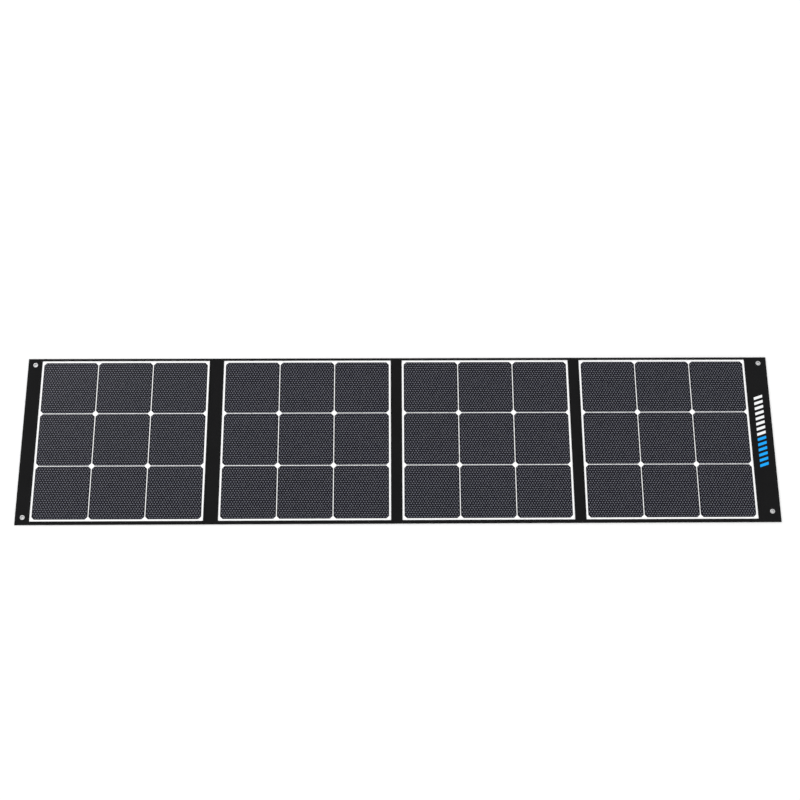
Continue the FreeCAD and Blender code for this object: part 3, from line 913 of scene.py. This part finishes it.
def make_rear_cloth():
    """Rear cloth under each leaf and under each fold, cut round the washers and the outlet."""
    outlet_low, outlet_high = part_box("lead_outlet")
    outlet = ((outlet_low.x + outlet_high.x) / 2, (outlet_low.y + outlet_high.y) / 2)
    for leaf in LEAVES:
        low = LOW.x if leaf == 1 else LAMINATE[leaf][0].x
        high = HIGH.x if leaf == 4 else LAMINATE[leaf][1].x
        piece = rear_strip(f"rear_cloth_{leaf}", low, high)
        holes = []
        for side, end in ENDS.items():
            if leaf == end:
                holes += [(x, y, WASHER) for x, y in spots_of(side)]
        if leaf == 1:
            holes.append((*outlet, (outlet_high.x - outlet_low.x) / 2))
        if holes:
            cut_round(piece, holes)
        attach(piece, f"leaf_{leaf}", "rear_cloth", f"rear_cover_{leaf}")
    for fold in FOLDS:
        first, second = fold_leaves(fold)
        low, high = fold_span(fold)
        piece = rear_strip(f"{fold}_rear_cloth", low, high, step=FOLD_STEP)
        attach_fold(piece, fold, "rear_cloth", f"rear_cover_{first}", f"rear_cover_{second}")


def make_fold_leads():
    """Flat leads that cross each fold between the front and rear cloth."""
    for fold in FOLDS:
        first, second = fold_leaves(fold)
        here, there = f"series_leads_{first}_right", f"series_leads_{second}_left"
        (low, here_high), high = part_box(here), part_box(there)[1]
        points, faces = [], []
        top, base = here_high.z - 0.02 * MM, low.z + 0.02 * MM
        middle = here_high.y - LEAD_WIDTH / 2
        # Half widths and heights of the section, whose corners are cut.
        wide, narrow, cut = LEAD_WIDTH / 2, LEAD_WIDTH / 2 - 0.4 * MM, 0.2 * MM
        section = [(-wide, base + cut), (-narrow, base), (narrow, base), (wide, base + cut),
                   (wide, top - cut), (narrow, top), (-narrow, top), (-wide, top - cut)]
        for centre in (-middle, middle):
            add_bar(points, faces, [[(x, centre + y, z) for y, z in section]
                                    for x in lines_between(low.x, high.x, FOLD_STEP)])
        name = f"{fold}_leads"
        piece = new_piece(name, closed_mesh(name, points, faces), "lead_jacket", smooth=False)
        attach_fold(piece, fold, "lead_jacket", here, there)


def film_skin(leaf):
    """The laminate's clear film, which sinks a little into the gaps between cells."""
    low, high = LAMINATE[leaf]
    cell_low, cell_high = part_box(f"cells_{leaf}")
    gaps_x, gaps_y = ([first + (last - first) * share for share in (1 / 3, 2 / 3)]
                      for first, last in ((cell_low.x, cell_high.x), (cell_low.y, cell_high.y)))
    wide, fine = 3 * MM, 0.6 * MM
    xs = lines_between(low.x, high.x, 13 * MM, *[(gap - wide, gap + wide, fine) for gap in gaps_x])
    ys = lines_between(low.y, high.y, 13 * MM, *[(gap - wide, gap + wide, fine) for gap in gaps_y])

    def place(x, y):
        near_x = np.min([np.abs(x - gap) for gap in gaps_x], axis=0)
        near_y = np.min([np.abs(y - gap) for gap in gaps_y], axis=0)
        sink = np.maximum(ease(1 - near_x / wide), ease(1 - near_y / wide))
        return np.column_stack((x, y, FILM_TOP - 0.09 * MM * sink))

    name = f"film_skin_{leaf}"
    piece = new_piece(name, grid_mesh(name, xs, ys, place), "clear_film")
    return walled(piece, 0.12 * MM, -1)


def make_panels():
    """Finishes of the laminates and the parts inside, and the film's embossed dots."""
    panel = settings_of("panels")
    finishes = {
        "cells": ("dark_cell", "cell"),
        "backsheet": ("white_backing", "white_backsheet"),
        "front_film": ("clear_film", "clear_film"),
        "interconnects": ("tinned_ribbon", "tinned_copper"),
        "stiffener_board": ("glass_board", "board"),
        "junction_block": ("black_moulding", "moulding"),
        "terminals": ("terminal_brass", "terminal_brass"),
        "bypass_diode": ("diode_case", "diode"),
        "margin_liner": ("liner_strip", "liner"),
        "series_leads": ("lead_jacket", "lead_jacket"),
        "eyelet": ("plated_eyelet", "eyelet_metal"),
        "lead_outlet": ("outlet_rubber", "outlet_rubber"),
        "front_cover": ("front_canvas", "front_cloth"),
        "rear_cover": ("rear_canvas", "rear_cloth"),
    }
    for name, node in frame["nodes"].items():
        kind = next(prefix for prefix in finishes if name.startswith(prefix))
        material, slot_name = finishes[kind]
        node.data.materials.clear()
        node.data.materials.append(finish_of(material))
    for leaf in LEAVES:
        attach(film_skin(leaf), f"leaf_{leaf}", "clear_film", f"front_film_{leaf}")
        low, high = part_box(f"cells_{leaf}")
        pitch = panel.dimple_pitch
        columns = int((high.x - low.x) / pitch)
        rows = int((high.y - low.y) / (pitch * math.sqrt(3)))
        middle = (low + high) / 2
        values = {
            "Columns": columns, "Rows": rows, "Pitch": pitch, "Width": panel.dimple_width,
            "Height": panel.dimple_height, "Place": (middle.x, middle.y, FILM_TOP - 0.01 * MM),
            "Cell Side": (high.x - low.x - 2 * panel.cell_gap) / 3, "Cell Gap": panel.cell_gap,
            "Corner Cut": panel.corner_cut, "Seed": 10 + leaf,
        }
        guide = bpy.data.meshes.new(f"film_dots_{leaf}")
        piece = grown(f"film_dots_{leaf}", guide, dimple_tree, values, "embossed_dot")
        attach(piece, f"leaf_{leaf}", "clear_film")


def make_fittings():
    """Eyelets and their washers as smooth turned rings."""
    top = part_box("eyelets_left")[1].z / MM
    ring = [
        (4.0, 0.15), (4.0, top - 1.0), (4.1, top - 0.55), (4.4, top - 0.2), (4.9, top - 0.02),
        (5.5, top), (6.1, top - 0.14), (6.65, top - 0.45), (7.05, top - 0.85), (7.2, top - 1.22),
        (7.0, top - 1.3), (4.6, top - 1.3), (4.6, 0.15), (4.5, 0.05), (4.1, 0.05),
    ]
    washer = [
        (4.6, 0.12), (4.75, 0.02), (7.6, 0.0), (8.0, 0.1), (8.2, 0.35), (8.2, 0.8), (4.6, 0.8),
    ]
    turned = (("eyelet", ring, "eyelets"), ("washer", washer, "eyelet_washers"))
    for side, leaf in ENDS.items():
        for kind, profile, node in turned:
            piece = lathe(f"{kind}_rings_{side}", [(r * MM, z * MM) for r, z in profile],
                          spots_of(side), "plated_eyelet")
            attach(piece, f"leaf_{leaf}", "eyelet_metal", f"{node}_{side}")


def make_seams():
    """Stitches of the hems and of the seams beside the laminates, front and rear."""
    hem = 2.0 * MM
    beside = 4.8 * MM
    from_end = 5 * MM
    far, near = HIGH.y - hem, LOW.y + hem

    def seams_of(span, uprights):
        lines = [((span[0], y), (span[1], y)) for y in (near, far)]
        lines += [((x, near), (x, far)) for x in uprights]
        return [(*line, under) for line in lines for under in (False, True)]

    for leaf in LEAVES:
        start, end, _ = window(leaf)
        low, high = LAMINATE[leaf]
        uprights = ()
        if leaf == ENDS["left"]:
            start = LOW.x + from_end
            uprights = (start, low.x - beside)
        elif leaf == ENDS["right"]:
            end = HIGH.x - from_end
            uprights = (high.x + beside, end)
        seams = seams_of((start, end), uprights)
        attach(sewn(f"leaf_stitches_{leaf}", seams, 20 + leaf), f"leaf_{leaf}", None)
    for number, fold in enumerate(FOLDS):
        first, second = fold_leaves(fold)
        low, high = fold_span(fold)
        seams = seams_of((window(first)[1], window(second)[0]), (low + beside, high - beside))
        attach_fold(sewn(f"{fold}_stitches", seams, 30 + number), fold, None)


def make_print():
    """A plain striped print on the right margin: slanted bars, pale and then blue."""
    fitting = settings_of("fittings")
    low = window(4)[1]
    centre = low + 0.49 * (HIGH.x - low)
    top = 133 * MM
    bars, pale = 14, 8
    step = fitting.print_length / bars
    slant, half_bar = 0.55 * step, 0.26 * step
    # Above the cloth, and sunk into it so that no gap shows.
    lifted, sunk = 0.09 * MM, -0.25 * MM
    section = ((lifted, half_bar), (lifted, -half_bar), (sunk, -half_bar), (sunk, half_bar))
    for name, chosen in (("print_white", range(pale)), ("print_blue", range(pale, bars))):
        points, faces = [], []
        for bar in chosen:
            rings = []
            for share in np.linspace(-0.5, 0.5, 13):
                x = centre + share * fitting.print_width
                y = top - (bar + 0.5) * step + share * slant
                z = cloth_height(np.array([x]), np.array([y]))[0]
                rings.append([(x, y + offset, z + lift) for lift, offset in section])
            add_bar(points, faces, rings)
        piece = new_piece(name, closed_mesh(name, points, faces), name, smooth=False)
        attach(piece, "leaf_4", None)


def make_stage():
    """Pale floor, soft light all round and the camera."""
    stage = settings_of("stage")
    mesh = bpy.data.meshes.new("floor")
    reach, level = 30, -0.6 * MM
    corners = [(-reach, -reach), (reach, -reach), (reach, reach), (-reach, reach)]
    mesh.from_pydata([(x, y, level) for x, y in corners], [], [(0, 1, 2, 3)])
    mesh.materials.append(start_material("studio_floor", stage.floor, 0.9, specular=0.0)[0])
    new_object("floor", mesh)

    world = bpy.context.scene.world or bpy.data.worlds.new("studio")
    bpy.context.scene.world = world
    world.use_nodes = True
    sky = world.node_tree.nodes["Background"]
    sky.inputs["Color"].default_value = (1, 1, 1, 1)
    sky.inputs["Strength"].default_value = 1.05

    lamp = bpy.data.lights.new("softbox", "AREA")
    lamp.shape = "RECTANGLE"
    lamp.size, lamp.size_y = 1.2, 1.0
    lamp.energy = 24
    light = new_object("softbox", lamp)
    light.location = (-2.3, 2.0, 3.2)
    light.rotation_euler = (-light.location).to_track_quat("-Z", "Y").to_euler()

    camera = bpy.data.cameras.new("camera")
    camera.lens = stage.lens
    camera.sensor_width = 36
    camera.shift_x, camera.shift_y = stage.shift
    camera.clip_end = 100
    eye = new_object("camera", camera)
    eye.location = stage.camera_place
    eye.rotation_euler = stage.camera_turn
    bpy.context.scene.camera = eye
    bpy.context.scene.view_settings.view_transform = "Standard"


# --- operators and panel -------------------------------------------------------------------

class BlanketFrontCloth(bpy.types.Operator):
    """Make the front cloth"""
    bl_idname = "blanket.front_cloth"
    bl_label = "Front Cloth"

    def execute(self, context):
        make_front_cloth()
        return {"FINISHED"}


class BlanketRearCloth(bpy.types.Operator):
    """Make the rear cloth"""
    bl_idname = "blanket.rear_cloth"
    bl_label = "Rear Cloth"

    def execute(self, context):
        make_rear_cloth()
        return {"FINISHED"}


class BlanketFoldLeads(bpy.types.Operator):
    """Make the flat leads across the folds"""
    bl_idname = "blanket.fold_leads"
    bl_label = "Fold Leads"

    def execute(self, context):
        make_fold_leads()
        return {"FINISHED"}


class BlanketPanels(bpy.types.Operator):
    """Finish the laminates and emboss the film"""
    bl_idname = "blanket.panels"
    bl_label = "Panels"

    def execute(self, context):
        make_panels()
        return {"FINISHED"}


class BlanketFittings(bpy.types.Operator):
    """Make the eyelets and washers"""
    bl_idname = "blanket.fittings"
    bl_label = "Eyelets"

    def execute(self, context):
        make_fittings()
        return {"FINISHED"}


class BlanketSeams(bpy.types.Operator):
    """Sew the seams and hems"""
    bl_idname = "blanket.seams"
    bl_label = "Seams"

    def execute(self, context):
        make_seams()
        return {"FINISHED"}


class BlanketPrint(bpy.types.Operator):
    """Print the stripes on the right margin"""
    bl_idname = "blanket.stripes"
    bl_label = "Striped Print"

    def execute(self, context):
        make_print()
        return {"FINISHED"}


class BlanketStage(bpy.types.Operator):
    """Set up the floor, the light and the camera"""
    bl_idname = "blanket.stage"
    bl_label = "Stage"

    def execute(self, context):
        make_stage()
        return {"FINISHED"}


class BlanketPanel(bpy.types.Panel):
    """Settings and steps of the blanket"""
    bl_idname = "VIEW3D_PT_blanket"
    bl_label = "Solar Blanket"
    bl_space_type = "VIEW_3D"
    bl_region_type = "UI"
    bl_category = "Blanket"

    def draw(self, context):
        for title, name, operators in PANEL_ROWS:
            box = self.layout.box()
            box.label(text=title)
            settings = getattr(context.scene, name)
            for prop in settings.bl_rna.properties:
                if prop.identifier not in ("rna_type", "name"):
                    box.prop(settings, prop.identifier)
            for operator in operators:
                box.operator(operator)


PANEL_ROWS = (
    ("Cloth", "blanket_cloth", ("blanket.front_cloth", "blanket.rear_cloth", "blanket.seams")),
    ("Panels", "blanket_panels", ("blanket.panels", "blanket.fold_leads")),
    ("Fittings", "blanket_fittings", ("blanket.fittings", "blanket.stripes")),
    ("Stage", "blanket_stage", ("blanket.stage",)),
)
SETTINGS = {
    "blanket_cloth": BlanketClothSettings, "blanket_panels": BlanketPanelSettings,
    "blanket_fittings": BlanketFittingSettings, "blanket_stage": BlanketStageSettings,
}
CLASSES = (
    *SETTINGS.values(), BlanketFrontCloth, BlanketRearCloth, BlanketFoldLeads, BlanketPanels,
    BlanketFittings, BlanketSeams, BlanketPrint, BlanketStage, BlanketPanel,
)


def register():
    for each in CLASSES:
        bpy.utils.register_class(each)
    for name, kind in SETTINGS.items():
        setattr(bpy.types.Scene, name, bpy.props.PointerProperty(type=kind))


def unregister():
    for name in SETTINGS:
        delattr(bpy.types.Scene, name)
    for each in reversed(CLASSES):
        bpy.utils.unregister_class(each)


def main():
    """Build the whole blanket."""
    register()
    bpy.ops.blanket.front_cloth()
    bpy.ops.blanket.rear_cloth()
    bpy.ops.blanket.fold_leads()
    bpy.ops.blanket.panels()
    bpy.ops.blanket.fittings()
    bpy.ops.blanket.seams()
    bpy.ops.blanket.stripes()
    bpy.ops.blanket.stage()


if __name__ == "__main__":
    main()
